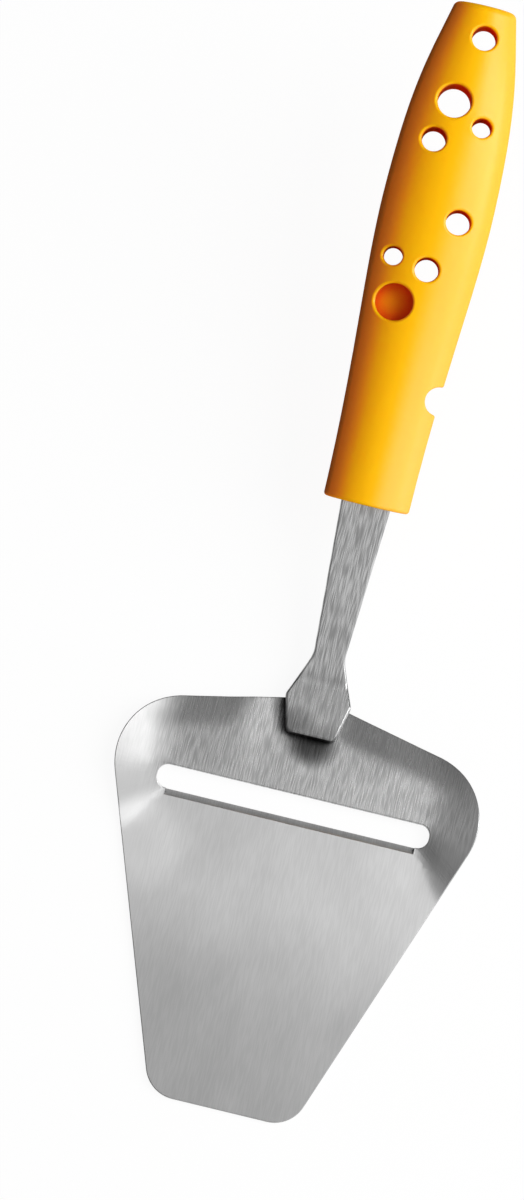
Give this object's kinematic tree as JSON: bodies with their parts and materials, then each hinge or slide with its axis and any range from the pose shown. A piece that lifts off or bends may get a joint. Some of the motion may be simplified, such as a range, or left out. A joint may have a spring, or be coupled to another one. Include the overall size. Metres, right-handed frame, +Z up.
{
  "type": "cheese slicer",
  "caption": "Hand cheese slicer: shield-shaped steel blade with a cross slot and raised cutting edge, welded flat shank, pierced oval plastic handle.",
  "frame": {"origin": "middle of the flat sole in front of the slot, on its underside, which is the lowest face", "axes": "+X across the blade, +Y from the blade's tip towards the handle's end, +Z up out of the blade's top face"},
  "size_m": [0.077, 0.2284, 0.0524],
  "materials": {
    "blade_steel": "brushed along the tool's length",
    "shank_steel": "brushed along its length, edges eased",
    "handle_plastic": "satin moulded plastic, amber yellow",
    "weld_steel": "fused metal, hidden"
  },
  "bodies": {
    "root": {"blade": "blade_steel", "shank": "shank_steel", "handle": "handle_plastic", "weld_nuggets": "weld_steel"}
  },
  "joints": []
}
